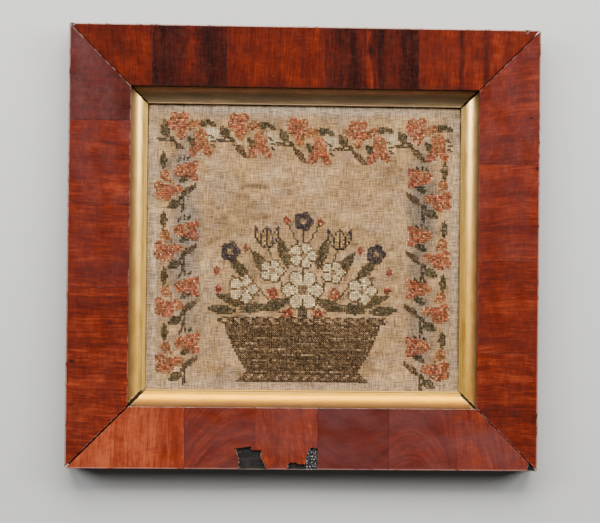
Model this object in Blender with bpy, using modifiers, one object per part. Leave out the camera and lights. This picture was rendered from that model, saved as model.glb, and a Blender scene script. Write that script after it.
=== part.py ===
"""A framed embroidered picture, lying on its back.

A sheet of linen lies on a board in the rebate of a mitred frame. The frame is a softwood carcase
with leaves of cross-banded veneer on its face, and a gilt cove slip between the wood and the linen.

Axes: +X to the picture's right, +Y to its top, +Z out of its face. The origin is the middle of the
back, on the plane that the frame rests on. All sizes are in metres.
"""

import math
from collections import namedtuple

import bmesh
import bpy
from mathutils import Matrix, Vector

MM = 0.001
CLEARANCE = 0.3 * MM

# The frame's outside, and the width of the wooden rail's face
WIDTH = 333.0 * MM
HEIGHT = 312.5 * MM
DEPTH = 22.0 * MM
RAIL_WIDTH = 43.7 * MM

# The carcase, in section: a bar with a rebate at its inner back edge
VENEER_THICKNESS = 1.2 * MM
CARCASE_TOP = DEPTH - VENEER_THICKNESS - CLEARANCE
CARCASE_INNER = RAIL_WIDTH - CLEARANCE
REBATE_WALL = 37.7 * MM
REBATE_ROOF = 17.8 * MM

# The veneer stands in a hair from the carcase's side, and its long arrises are worn round
VENEER_OUTER = 0.2 * MM
ARRIS_RADIUS = 0.35 * MM
ARRIS_SEGMENTS = 2

# The gilt slip, in section: a block under the rail's lip, a cove, and a thin fillet at the sight edge
SLIP_OUTER = REBATE_WALL + CLEARANCE
SLIP_TOP = REBATE_ROOF - CLEARANCE
SLIP_BOTTOM = 8.9 * MM
COVE_START = RAIL_WIDTH + 0.2 * MM
COVE_STEEP = math.radians(62.0)
COVE_FLAT = math.radians(8.0)
COVE_END_HEIGHT = 10.5 * MM
COVE_SEGMENTS = 9
SIGHT_EDGE = 54.9 * MM
FILLET_WIDTH = 0.9 * MM
FILLET_RISE = 0.4 * MM

# The linen and the board behind it
LINEN_SIZE = (256.4 * MM, 235.9 * MM)
LINEN_THICKNESS = 1.0 * MM
LINEN_TOP = SLIP_BOTTOM - CLEARANCE
LINEN_CELLS = (34, 31)
BOARD_SIZE = (257.0 * MM, 236.5 * MM)
BOARD_BACK = 0.8 * MM
BOARD_TOP = LINEN_TOP - LINEN_THICKNESS - CLEARANCE

# The linen's swells, each a soft hump above the board: its middle, its reach each way, its rise and
# the turn of its long axis
Swell = namedtuple("Swell", "x y reach_x reach_y rise turn")
SWELLS = [
    Swell(x=2 * MM, y=-8 * MM, reach_x=70 * MM, reach_y=60 * MM, rise=0.35 * MM, turn=0.0),
    Swell(x=-66 * MM, y=-78 * MM, reach_x=12 * MM, reach_y=34 * MM, rise=0.45 * MM, turn=18.0),
    Swell(x=-24 * MM, y=-86 * MM, reach_x=10 * MM, reach_y=26 * MM, rise=0.50 * MM, turn=-8.0),
    Swell(x=30 * MM, y=-84 * MM, reach_x=11 * MM, reach_y=30 * MM, rise=0.40 * MM, turn=6.0),
    Swell(x=84 * MM, y=-62 * MM, reach_x=13 * MM, reach_y=42 * MM, rise=0.50 * MM, turn=-22.0),
    Swell(x=88 * MM, y=38 * MM, reach_x=14 * MM, reach_y=40 * MM, rise=0.30 * MM, turn=10.0),
    Swell(x=-88 * MM, y=30 * MM, reach_x=16 * MM, reach_y=46 * MM, rise=0.30 * MM, turn=-6.0),
]
SWELL_CEILING = 0.8 * MM
SWELL_MARGIN = 9.0 * MM

# The four sides. Along a side, x runs from its middle and u inwards from its outer edge. Each side
# has the turn that takes it to its place, the joints between its leaves of veneer, and the chips
# that are gone from the veneer's outer edge, each a run of (x, u) in millimetres.
Side = namedtuple("Side", "name length offset turn joints chips")
SIDES = [
    Side(
        name="bottom", length=WIDTH, offset=HEIGHT / 2, turn=0.0,
        joints=(-82.9, 10.8, 60.8),
        chips=(
            ((-45.1, 0.0), (-44.7, 7.3), (-46.2, 11.8), (-47.6, 14.9), (-35.7, 16.3), (-35.2, 13.7),
             (-28.1, 13.8), (-28.8, 10.4), (-28.7, 7.7), (-26.8, 5.5), (-24.7, 0.0)),
            ((-10.6, 0.0), (-10.3, 3.9), (-8.3, 5.1), (-4.7, 5.3), (-2.0, 4.1), (2.3, 4.2),
             (2.9, 10.0), (4.7, 14.9), (7.0, 15.8), (10.8, 15.1)),
            ((158.7, 0.0), (159.3, 3.0), (160.4, 6.0), (166.5, 6.0)),
        ),
    ),
    Side(
        name="right", length=HEIGHT, offset=WIDTH / 2, turn=90.0,
        joints=(-73.2, -8.1, 60.6),
        chips=(),
    ),
    Side(
        name="top", length=WIDTH, offset=HEIGHT / 2, turn=180.0,
        joints=(-79.7, -12.9, 55.5, 108.3),
        chips=(
            ((-158.8, 0.0), (-156.6, 3.7), (-154.4, 0.0)),
            ((162.6, 0.0), (162.9, 2.4), (166.5, 2.7)),
        ),
    ),
    Side(
        name="left", length=HEIGHT, offset=WIDTH / 2, turn=-90.0,
        joints=(-88.0, -29.6, 29.2),
        chips=(
            ((-156.5, 2.4), (-153.4, 2.1), (-152.8, 0.0)),
        ),
    ),
]

# How far each corner's mitre stands open, at the outside of the frame and at the sight edge. A
# corner is named for the side that comes before it, going round anticlockwise.
Mitre = namedtuple("Mitre", "outside inside")
MITRES = {
    "left": Mitre(outside=1.2 * MM, inside=1.1 * MM),
    "bottom": Mitre(outside=0.7 * MM, inside=0.45 * MM),
    "right": Mitre(outside=0.8 * MM, inside=0.55 * MM),
    "top": Mitre(outside=0.4 * MM, inside=0.7 * MM),
}

TINY = 1e-6

Finish = namedtuple("Finish", "colour roughness metallic")
FINISHES = {
    "veneer": Finish(colour=(0.27, 0.055, 0.022), roughness=0.34, metallic=0.0),
    "carcase": Finish(colour=(0.045, 0.035, 0.03), roughness=0.85, metallic=0.0),
    "gilt": Finish(colour=(0.58, 0.40, 0.15), roughness=0.38, metallic=0.85),
    "linen": Finish(colour=(0.50, 0.41, 0.30), roughness=0.95, metallic=0.0),
    "board": Finish(colour=(0.33, 0.22, 0.12), roughness=0.8, metallic=0.0),
}


def clear_scene():
    """Empties the scene, so that the model starts from nothing."""
    for scene_object in list(bpy.data.objects):
        bpy.data.objects.remove(scene_object, do_unlink=True)


def new_collection(name):
    """A collection of that name, linked to the scene."""
    collection = bpy.data.collections.new(name)
    bpy.context.scene.collection.children.link(collection)
    return collection


def new_material(name, kind):
    """A material of its own for one piece, in one of the finishes above."""
    finish = FINISHES[kind]
    material = bpy.data.materials.new(name)
    material.use_nodes = True
    shader = material.node_tree.nodes["Principled BSDF"]
    shader.inputs["Base Color"].default_value = (*finish.colour, 1.0)
    shader.inputs["Roughness"].default_value = finish.roughness
    shader.inputs["Metallic"].default_value = finish.metallic
    material.diffuse_color = (*finish.colour, 1.0)
    return material


def prism(name, outline, thickness):
    """A bmesh of a flat outline, drawn in X and Y and as thick as asked along Z, about Z = 0."""
    curve = bpy.data.curves.new(name, "CURVE")
    curve.dimensions = "2D"
    curve.fill_mode = "BOTH"
    curve.extrude = thickness / 2
    spline = curve.splines.new("POLY")
    spline.points.add(len(outline) - 1)
    for point, (x, y) in zip(spline.points, outline):
        point.co = (x, y, 0.0, 1.0)
    spline.use_cyclic_u = True
    guide = bpy.data.objects.new(name, curve)
    bpy.context.scene.collection.objects.link(guide)
    bpy.context.view_layer.update()
    depsgraph = bpy.context.evaluated_depsgraph_get()
    mesh = bpy.data.meshes.new_from_object(guide.evaluated_get(depsgraph))
    bpy.data.objects.remove(guide, do_unlink=True)
    bpy.data.curves.remove(curve)
    body = bmesh.new()
    body.from_mesh(mesh)
    bpy.data.meshes.remove(mesh)
    bmesh.ops.remove_doubles(body, verts=body.verts, dist=TINY)
    bmesh.ops.dissolve_limit(body, angle_limit=math.radians(0.5), verts=body.verts, edges=body.edges)
    bmesh.ops.recalc_face_normals(body, faces=body.faces)
    return body


def saw_mitre(body, side_length, end, mitre):
    """Saws one end of a side's piece at its corner. end is 1 at +x and -1 at -x."""
    opening_outside = mitre.outside / math.sqrt(2)
    opening_inside = mitre.inside / math.sqrt(2)
    outer = Vector((end * (side_length / 2 - opening_outside), 0.0, 0.0))
    inner = Vector((end * (side_length / 2 - SIGHT_EDGE - opening_inside), SIGHT_EDGE, 0.0))
    along = inner - outer
    away = Vector((end * along.y, -end * along.x, 0.0))
    everything = body.verts[:] + body.edges[:] + body.faces[:]
    bmesh.ops.bisect_plane(
        body, geom=everything, dist=TINY, plane_co=outer, plane_no=away, clear_outer=True
    )
    open_edges = [edge for edge in body.edges if edge.is_boundary]
    if open_edges:
        bmesh.ops.holes_fill(body, edges=open_edges, sides=0)
        bmesh.ops.recalc_face_normals(body, faces=body.faces)


def add_piece(name, body, kind, parts, parent=None):
    """Makes the bmesh an object in the parts collection, with its own material."""
    mesh = bpy.data.meshes.new(name)
    body.to_mesh(mesh)
    body.free()
    mesh.materials.append(new_material(name, kind))
    piece = bpy.data.objects.new(name, mesh)
    piece.parent = parent
    parts.objects.link(piece)
    return piece


def moulding(name, section, side):
    """A bmesh of a length of moulding. Its section is drawn in (u, height), and it runs along x."""
    body = prism(name, section, side.length)
    stand_up = Matrix(((0, 0, 1, 0), (1, 0, 0, 0), (0, 1, 0, 0), (0, 0, 0, 1)))
    bmesh.ops.transform(body, matrix=stand_up, verts=body.verts)
    return body


def corner_before(side):
    """The opening of the mitre at the side's -x end."""
    names = [each.name for each in SIDES]
    return MITRES[names[names.index(side.name) - 1]]


def carcase_section():
    """The carcase's section, with the rebate at its inner back edge."""
    return [
        (0.0, 0.0),
        (REBATE_WALL, 0.0),
        (REBATE_WALL, REBATE_ROOF),
        (CARCASE_INNER, REBATE_ROOF),
        (CARCASE_INNER, CARCASE_TOP),
        (0.0, CARCASE_TOP),
    ]


def cove_points():
    """The cove's arc in (u, height), from steep beside the wood to nearly flat by the fillet."""
    end_u = SIGHT_EDGE - FILLET_WIDTH
    chord = math.hypot(end_u - COVE_START, SLIP_TOP - COVE_END_HEIGHT)
    radius = chord / (2 * math.sin((COVE_STEEP - COVE_FLAT) / 2))
    points = []
    for step in range(COVE_SEGMENTS + 1):
        slope = COVE_STEEP + (COVE_FLAT - COVE_STEEP) * step / COVE_SEGMENTS
        u = COVE_START + radius * (math.sin(COVE_STEEP) - math.sin(slope))
        height = SLIP_TOP - radius * (math.cos(slope) - math.cos(COVE_STEEP))
        points.append((u, height))
    return points


def slip_section():
    """The slip's section, going round from the back."""
    cove = cove_points()
    fillet_top = cove[-1][1] + FILLET_RISE
    return [
        (SLIP_OUTER, SLIP_BOTTOM),
        (SIGHT_EDGE, SLIP_BOTTOM),
        (SIGHT_EDGE, fillet_top),
        (SIGHT_EDGE - FILLET_WIDTH, fillet_top),
        *reversed(cove),
        (SLIP_OUTER, SLIP_TOP),
    ]


def build_mouldings(side, parent, parts):
    """One rail of the carcase and one length of slip, mitred at both ends."""
    for stem, section, kind in (("rail", carcase_section(), "carcase"), ("slip", slip_section(), "gilt")):
        body = moulding(stem, section, side)
        saw_mitre(body, side.length, 1, MITRES[side.name])
        saw_mitre(body, side.length, -1, corner_before(side))
        add_piece(f"{stem}_{side.name}", body, kind, parts, parent)


def leaf_outline(start, end, chips):
    """A leaf of veneer from start to end along its side, with its chips cut from the outer edge."""
    edge = []
    for chip in chips:
        middle = (chip[0][0] + chip[-1][0]) / 2 * MM
        if start < middle < end:
            edge += [(min(max(x * MM, start), end), max(u * MM, VENEER_OUTER)) for x, u in chip]
    if not edge or edge[0][0] > start + TINY:
        edge.insert(0, (start, VENEER_OUTER))
    if edge[-1][0] < end - TINY:
        edge.append((end, VENEER_OUTER))
    return [*edge, (end, RAIL_WIDTH), (start, RAIL_WIDTH)]


def round_arrises(body):
    """Wears the long top edges round, at the outside of the frame and beside the slip."""
    top = DEPTH - TINY
    long_edges = []
    for edge in body.edges:
        a, b = (vertex.co for vertex in edge.verts)
        on_top = a.z > top and b.z > top
        outer = max(a.y, b.y) < VENEER_OUTER + TINY
        inner = min(a.y, b.y) > RAIL_WIDTH - TINY
        if on_top and (outer or inner):
            long_edges.append(edge)
    bmesh.ops.bevel(
        body, geom=long_edges, offset=ARRIS_RADIUS, segments=ARRIS_SEGMENTS, profile=0.5,
        affect="EDGES", material=-1, clamp_overlap=True
    )


def build_veneer(side, parent, parts):
    """The side's leaves of veneer, laid edge to edge with a hair between them."""
    joints = [-side.length / 2, *(x * MM for x in side.joints), side.length / 2]
    for number, (left, right) in enumerate(zip(joints, joints[1:]), start=1):
        first, last = number == 1, number == len(joints) - 1
        start = left if first else left + CLEARANCE / 2
        end = right if last else right - CLEARANCE / 2
        body = prism("leaf", leaf_outline(start, end, side.chips), VENEER_THICKNESS)
        lift = Matrix.Translation((0.0, 0.0, DEPTH - VENEER_THICKNESS / 2))
        bmesh.ops.transform(body, matrix=lift, verts=body.verts)
        if last:
            saw_mitre(body, side.length, 1, MITRES[side.name])
        if first:
            saw_mitre(body, side.length, -1, corner_before(side))
        round_arrises(body)
        add_piece(f"veneer_{side.name}_{number}", body, "veneer", parts, parent)


def build_side(side, parts):
    """Everything on one side of the frame, placed by an empty at the middle of its outer edge."""
    turn = math.radians(side.turn)
    place = bpy.data.objects.new(f"{side.name}_side", None)
    place.location = (math.sin(turn) * side.offset, -math.cos(turn) * side.offset, 0.0)
    place.rotation_euler = (0.0, 0.0, turn)
    parts.objects.link(place)
    build_mouldings(side, place, parts)
    build_veneer(side, place, parts)


def swell_height(x, y):
    """How far the linen stands off the board at a point, fading to nothing under the slip."""
    height = 0.0
    for swell in SWELLS:
        turn = math.radians(swell.turn)
        along = (x - swell.x) * math.cos(turn) + (y - swell.y) * math.sin(turn)
        across = (y - swell.y) * math.cos(turn) - (x - swell.x) * math.sin(turn)
        height += swell.rise * math.exp(-((along / swell.reach_x) ** 2) - (across / swell.reach_y) ** 2)
    inside_x = WIDTH / 2 - SIGHT_EDGE - abs(x)
    inside_y = HEIGHT / 2 - SIGHT_EDGE - abs(y)
    share = min(max(min(inside_x, inside_y) / SWELL_MARGIN, 0.0), 1.0)
    return min(height, SWELL_CEILING) * share * share * (3 - 2 * share)


def build_linen(parts):
    """The linen: a sheet on the board, flat under the slip and a little uneven inside it."""
    body = bmesh.new()
    bmesh.ops.create_grid(body, x_segments=LINEN_CELLS[0], y_segments=LINEN_CELLS[1], size=0.5)
    size = Matrix.Diagonal((*LINEN_SIZE, 1.0, 1.0))
    bmesh.ops.transform(body, matrix=size, verts=body.verts)
    for vertex in body.verts:
        vertex.co.z = LINEN_TOP + swell_height(vertex.co.x, vertex.co.y)
    piece = add_piece("linen", body, "linen", parts)
    thickness = piece.modifiers.new("thickness", "SOLIDIFY")
    thickness.thickness = LINEN_THICKNESS
    thickness.offset = -1.0


def build_board(parts):
    """The plain board behind the linen."""
    body = bmesh.new()
    bmesh.ops.create_cube(body, size=1.0)
    size = Matrix.Diagonal((*BOARD_SIZE, BOARD_TOP - BOARD_BACK, 1.0))
    place = Matrix.Translation((0.0, 0.0, (BOARD_TOP + BOARD_BACK) / 2))
    bmesh.ops.transform(body, matrix=place @ size, verts=body.verts)
    add_piece("backing_board", body, "board", parts)


def main():
    clear_scene()
    parts = new_collection("framed_embroidered_picture")
    for side in SIDES:
        build_side(side, parts)
    build_linen(parts)
    build_board(parts)
    bpy.context.view_layer.update()


main()
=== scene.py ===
# %% [markdown]
# # A framed embroidered picture
# The real object is a sheet of linen worked in wool cross stitch, held in a mitred frame of
# cross-banded veneer with a gilt cove slip. The picture lies on its back, so we look down on it.
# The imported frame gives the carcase, the leaves of veneer and the board at their true sizes.
# This lesson dresses them: it lays finer cloth, gilding and thousands of stitches on that frame.

import math
import random
from collections import namedtuple

import bmesh
import bpy
import numpy as np
from mathutils import Matrix, Vector


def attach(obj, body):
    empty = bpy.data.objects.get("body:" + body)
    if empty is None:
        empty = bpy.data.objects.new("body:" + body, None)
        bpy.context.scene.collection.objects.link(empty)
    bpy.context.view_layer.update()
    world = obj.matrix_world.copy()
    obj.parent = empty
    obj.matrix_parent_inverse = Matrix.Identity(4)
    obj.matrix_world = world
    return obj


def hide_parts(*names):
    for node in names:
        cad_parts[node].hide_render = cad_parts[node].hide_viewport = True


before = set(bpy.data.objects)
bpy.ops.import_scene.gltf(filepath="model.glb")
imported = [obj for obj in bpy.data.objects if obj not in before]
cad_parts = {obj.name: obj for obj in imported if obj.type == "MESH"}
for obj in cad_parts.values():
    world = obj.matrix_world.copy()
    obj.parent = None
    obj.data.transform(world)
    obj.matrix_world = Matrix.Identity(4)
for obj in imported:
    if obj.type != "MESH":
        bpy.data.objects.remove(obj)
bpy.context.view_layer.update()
print("nodes in the frame:", len(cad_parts))

# %% [markdown]
# The sizes below repeat the drawing of the frame, in metres. The origin is the middle of the back,
# +X is the picture's right, +Y its top and +Z comes out of its face. Along a side of the frame
# we count `along` from its middle and `across` inwards from its outer edge, as a joiner does.

# %% Sizes of the real picture
MM = 0.001
TO_MM = 1000.0
WIDTH = 333.0 * MM
HEIGHT = 312.5 * MM
CARCASE_TOP = 20.5 * MM
RAIL_WIDTH = 43.7 * MM
SIGHT_EDGE = 54.9 * MM
SIGHT_X = WIDTH / 2 - SIGHT_EDGE
SIGHT_Y = HEIGHT / 2 - SIGHT_EDGE
LINEN_SIZE = (256.4 * MM, 235.9 * MM)
LINEN_TOP = 8.6 * MM
LINEN_THICKNESS = 1.0 * MM
SIDES = ("bottom", "right", "top", "left")
SIDE_TURN = {"bottom": 0.0, "right": 90.0, "top": 180.0, "left": -90.0}
SIDE_LENGTH = {"bottom": WIDTH, "right": HEIGHT, "top": WIDTH, "left": HEIGHT}
SIDE_OFFSET = {"bottom": HEIGHT / 2, "right": WIDTH / 2, "top": HEIGHT / 2, "left": WIDTH / 2}
print("sight opening in mm:", round(SIGHT_X * 2000, 1), round(SIGHT_Y * 2000, 1))

# %% [markdown]
# The photograph looks almost straight at the face from about a metre away, turned and tilted by
# a degree or two. A long lens from there keeps the frame's sides nearly parallel, as they are in
# the photograph. The place and turn were solved from where the frame's corners fall in it.

# %% Camera at the photograph's viewing angle


def put_in_scene(name, data):
    """A new object in the scene with that camera, light or mesh."""
    thing = bpy.data.objects.new(name, data)
    bpy.context.scene.collection.objects.link(thing)
    return thing


camera_data = bpy.data.cameras.new("camera")
camera_data.lens = 90.0
camera_data.sensor_width = 36.0
camera = put_in_scene("camera", camera_data)
camera.location = (-0.0394, -0.0179, 1.0762)
camera.rotation_euler = tuple(math.radians(turn) for turn in (0.423, -1.984, 0.622))
bpy.context.scene.camera = camera
print("camera height in m:", camera.location.z)

# %% [markdown]
# A studio photographer lights such a picture with two soft boxes at its sides, so that the
# varnish shows no glare, and a third from above its top edge. The gilt cove mirrors them: its
# bottom length faces the top light and glows, and its top length faces the dark and stays brown.

# %% Floor, soft lights and a dim room
FLOOR_SIZE = 6.0


def soft_box(name, place, size, watts, colour):
    """A soft rectangular light that faces the middle of the picture."""
    data = bpy.data.lights.new(name, "AREA")
    data.shape = "RECTANGLE"
    data.size, data.size_y = size
    data.energy = watts
    data.color = colour
    light = put_in_scene(name, data)
    light.location = place
    aim = Vector((0.0, 0.0, 0.02)) - Vector(place)
    light.rotation_euler = aim.to_track_quat("-Z", "Y").to_euler()


soft_box("left_box", (-1.1, 0.42, 0.8), (0.6, 0.6), 14.5, (1.0, 0.98, 0.96))
soft_box("right_box", (1.1, 0.42, 0.8), (0.6, 0.6), 14.5, (1.0, 0.98, 0.96))
soft_box("top_box", (0.0, 1.05, 0.95), (1.6, 0.8), 47.0, (1.0, 0.97, 0.91))

room = bpy.data.worlds.new("room")
room.use_nodes = True
glow = room.node_tree.nodes["Background"].inputs
glow["Color"].default_value = (0.84, 0.82, 0.79, 1.0)
glow["Strength"].default_value = 0.07
bpy.context.scene.world = room

floor_mesh = bpy.data.meshes.new("floor")
floor_body = bmesh.new()
bmesh.ops.create_grid(floor_body, x_segments=1, y_segments=1, size=FLOOR_SIZE / 2)
floor_body.to_mesh(floor_mesh)
floor_body.free()
floor = put_in_scene("floor", floor_mesh)

# %% [markdown]
# Shader maths reads best as plain sums. The `Amount` class wraps a node's socket, and each sign on
# it adds the Math node that does that sum. A `Finish` holds one material: its `node` method makes
# any node from its type, its settings and the values or links of its sockets.

# %% Shader maths as plain sums


def sign(operation, swapped=False):
    """The method behind one of Python's signs: a Math node of that kind."""
    def method(self, other=0.0):
        first, second = (other, self) if swapped else (self, other)
        return self.finish.node("ShaderNodeMath", {"operation": operation}, {0: first, 1: second})
    return method


class Amount:
    """A number or colour that varies over a surface: a node's socket with Python's own signs."""

    __add__, __radd__ = sign("ADD"), sign("ADD", True)
    __sub__, __rsub__ = sign("SUBTRACT"), sign("SUBTRACT", True)
    __mul__, __rmul__ = sign("MULTIPLY"), sign("MULTIPLY", True)
    __truediv__, __rtruediv__ = sign("DIVIDE"), sign("DIVIDE", True)
    __pow__, __rpow__ = sign("POWER"), sign("POWER", True)
    __abs__, sine, floor = sign("ABSOLUTE"), sign("SINE"), sign("FLOOR")
    lower, higher = sign("MINIMUM"), sign("MAXIMUM")

    def __init__(self, finish, socket):
        self.finish = finish
        self.socket = socket

    def __neg__(self):
        return self * -1.0

    def rise(self, low, high):
        """0 below low, 1 above high and smooth between. With low above high it falls instead."""
        inputs = {"Value": self, "From Min": low, "From Max": high}
        return self.finish.node("ShaderNodeMapRange", {"interpolation_type": "SMOOTHSTEP"}, inputs)

    def blend(self, share, colour, kind="MIX"):
        """This colour with that share of another one laid over it."""
        settings = {"data_type": "RGBA", "blend_type": kind}
        return self.finish.node("ShaderNodeMix", settings, {0: share, 6: self, 7: colour}, output=2)

    def shaded(self, shade):
        """This colour made lighter or darker by a plain number."""
        grey = dict.fromkeys(("Red", "Green", "Blue"), shade)
        return self.blend(1.0, self.finish.node("ShaderNodeCombineColor", None, grey), kind="MULTIPLY")


class Finish:
    """One material, built a node at a time around its Principled shader."""

    def __init__(self, name):
        self.material = bpy.data.materials.new(name)
        self.material.use_nodes = True
        self.tree = self.material.node_tree
        self.shader = self.tree.nodes["Principled BSDF"]

    def feed(self, socket, value):
        """Links an Amount into a socket, or sets a plain number or colour on it."""
        if isinstance(value, Amount):
            self.tree.links.new(value.socket, socket)
        elif isinstance(value, tuple):
            socket.default_value = (*value, 1.0)
        else:
            socket.default_value = value

    def node(self, kind, settings=None, inputs=None, output=0):
        """Any node: its type, then its settings, then the values or links of its sockets."""
        made = self.tree.nodes.new(kind)
        for key, value in (settings or {}).items():
            if key == "stops":
                self.set_stops(made.color_ramp, value)
            else:
                setattr(made, key, value)
        for key, value in (inputs or {}).items():
            self.feed(made.inputs[key], value)
        return Amount(self, made.outputs[output])

    def set_stops(self, ramp, stops):
        """Sets a colour ramp's stops, each a place from 0 to 1 and a colour."""
        while len(ramp.elements) < len(stops):
            ramp.elements.new(0.5)
        for element, (place, colour) in zip(ramp.elements, stops):
            element.position = place
            element.color = (*colour, 1.0)

    def split(self, vector):
        """A vector's three numbers."""
        first = self.node("ShaderNodeSeparateXYZ", None, {0: vector})
        return [Amount(self, output) for output in first.socket.node.outputs]

    def place(self):
        """The surface's place on the object in mm."""
        return [part * TO_MM for part in self.split(self.node("ShaderNodeTexCoord", output="Object"))]

    def facing(self):
        """1 where a face looks out of the picture's front and -1 where it looks out of its back."""
        return self.split(self.node("ShaderNodeNewGeometry", output="Normal"))[2]

    def own_map(self, name):
        """The two numbers of one of the piece's own UV maps."""
        return self.split(self.node("ShaderNodeUVMap", {"uv_map": name}))[:2]

    def noise(self, x, y, z, detail=2.0, roughness=0.5, distortion=0.0, scale=1.0):
        """Soft cloudy noise about 0.5, its clouds about 1 wide in the three numbers given."""
        vector = self.node("ShaderNodeCombineXYZ", None, {"X": x, "Y": y, "Z": z})
        return self.node("ShaderNodeTexNoise", None, {
            "Vector": vector, "Scale": scale, "Detail": detail, "Roughness": roughness,
            "Distortion": distortion,
        })

    def ramp(self, value, stops):
        return self.node("ShaderNodeValToRGB", {"stops": stops}, {"Fac": value})

    def bump(self, height, distance):
        """A normal from a height of 0 to 1, where 1 stands out by that distance in metres."""
        return self.node("ShaderNodeBump", None, {"Height": height, "Distance": distance})

    def surface(self, **values):
        """Feeds the shader. A socket's name is written with _ for its spaces."""
        for key, value in values.items():
            self.feed(self.shader.inputs[key.replace("_", " ")], value)
        return self.material


def clothe(piece, material):
    """Gives a piece that material alone."""
    piece.data.materials.clear()
    piece.data.materials.append(material)


floor_finish = Finish("floor_paper")
x, y, _ = floor_finish.place()
paper = floor_finish.node("ShaderNodeMix", {"data_type": "RGBA"}, {
    0: floor_finish.noise(x, y, 0.0, detail=3.0, scale=0.003), 6: (0.56, 0.57, 0.58), 7: (0.6, 0.6, 0.6)
}, output=2)
clothe(floor, floor_finish.surface(Base_Color=paper, Roughness=0.9, Specular_IOR_Level=0.15))
print("materials:", len(bpy.data.materials))

# %% [markdown]
# Each side of the frame has its own direction, so a finish that follows the wood needs to know
# which side it is on. `rail_place` turns the object's coordinates into `along` and `across` in
# millimetres, with plain sums, so that grain can be described the way a joiner sees it.

# %% Coordinates along and across a side


def rail_place(finish, side):
    """Along and across in mm, and the height in mm, on one side of the frame."""
    x, y, z = finish.place()
    half = SIDE_OFFSET[side] * TO_MM
    if side == "bottom":
        return x, y + half, z
    if side == "right":
        return y, half - x, z
    if side == "top":
        return -x, half - y, z
    return -y, x + half, z


def past_mitre(side, along, across):
    """How far a place lies from the nearer corner's diagonal, in mm along the side."""
    return SIDE_LENGTH[side] * TO_MM / 2 - abs(along) - across


def side_matrix(side):
    """Takes a point drawn as (along, across, height) to its place on that side."""
    turn = math.radians(SIDE_TURN[side])
    offset = SIDE_OFFSET[side]
    outer_edge = Vector((math.sin(turn) * offset, -math.cos(turn) * offset, 0.0))
    return Matrix.Translation(outer_edge) @ Matrix.Rotation(turn, 4, "Z")


print("top side, 10 mm in:", tuple(round(v, 4) for v in side_matrix("top") @ Vector((0, 0.01, 0))))

# %% [markdown]
# The carcase is cheap softwood, stained nearly black on its outer sides and bare at the back.
# Where the veneer has chipped off, its top shows as dark, scratched ground with old glue on it.
# One finish does all of that: the way a face looks out of the piece picks stain or bare wood.

# %% Finish of the carcase

# Where along the bottom the bared ground is crumbly, in mm
CRUMBLY = (2.4, 10.8)


def carcase_finish(side):
    """Stained softwood, with glue on top and bare boards at the back."""
    finish = Finish(f"stained_softwood_{side}")
    along, across, height = rail_place(finish, side)
    facing = finish.facing()
    grain = finish.noise(
        along / 40.0, across / 1.6, height / 1.6, detail=3.0, roughness=0.6, distortion=0.3
    )
    fine = finish.noise(along / 8.0, across / 0.35, height / 0.35)
    rub = finish.noise(along / 11.0, across / 4.0, height / 4.0, detail=4.0)
    stain = finish.ramp(grain * 0.6 + fine * 0.4, [
        (0.3, (0.01, 0.006, 0.005)), (0.52, (0.03, 0.014, 0.009)), (0.75, (0.075, 0.032, 0.018)),
    ])
    low_edge = height.rise(1.6, 0.2)
    high_edge = height.rise(19.6, 20.6)
    worn = (rub + 0.28 * (low_edge + high_edge)).rise(0.66, 0.8)
    stain = stain.blend(worn * 0.75, (0.17, 0.085, 0.045))
    bare = finish.ramp(grain * 0.7 + fine * 0.3, [
        (0.32, (0.12, 0.065, 0.03)), (0.5, (0.24, 0.14, 0.07)), (0.72, (0.34, 0.21, 0.11)),
    ])
    scratch = finish.noise(along / 1.3, across / 0.8, 0.0, detail=5.0, roughness=0.7, distortion=1.5)
    ground = finish.ramp(scratch, [
        (0.34, (0.004, 0.004, 0.004)), (0.52, (0.011, 0.011, 0.011)), (0.68, (0.04, 0.038, 0.037)),
    ])
    dusty = finish.noise(along / 7.0, across / 3.0, 5.0).rise(0.48, 0.62)
    ground = ground.blend(dusty * 0.45, (0.042, 0.025, 0.028))
    if side == "bottom":
        crumbs = finish.noise(along, across, 3.0, detail=1.0).rise(0.58, 0.64)
        crumbly = along.rise(CRUMBLY[0], CRUMBLY[0] + 1.0)
        crumbly = crumbly * along.rise(CRUMBLY[1] + 1.0, CRUMBLY[1])
        ground = ground.blend(crumbs * crumbly * 0.9, (0.34, 0.35, 0.37))
    outer_line = across.rise(1.0, 0.3) * rub.rise(0.3, 0.45)
    ground = ground.blend(outer_line * 0.6, (0.2, 0.155, 0.13))
    is_back = facing.rise(-0.5, -0.8)
    is_top = facing.rise(0.5, 0.8)
    colour = stain.blend(is_back, bare)
    colour = colour.blend(is_top, ground)
    relief = finish.bump(fine * 0.5 + grain * 0.3 + scratch * 0.4, 0.00018)
    return finish.surface(
        Base_Color=colour, Roughness=0.62 + 0.3 * grain, Specular_IOR_Level=0.15, Normal=relief
    )


for side in SIDES:
    clothe(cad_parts[f"rail_{side}"], carcase_finish(side))
print("carcase finished on", len(SIDES), "sides")

# %% [markdown]
# The veneer is cross-banded: each leaf's grain runs across the rail, and leaves from one log are
# laid side by side, so their stripes, bands and arches change at every joint. The finish draws
# lines of constant `line`, a coordinate that runs along the rail and is bent, slanted or crowned
# like the leaf's own figure, and noise stretched along those lines makes stripes and pores.

# %% How each leaf of veneer looks
Leaf = namedtuple("Leaf", "tone contrast slant bend crown haze bands second knots")
Leaf.__new__.__defaults__ = (0.5, 0.9, 0, 0, None, 0, (), None, ())  # what most leaves share

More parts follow.
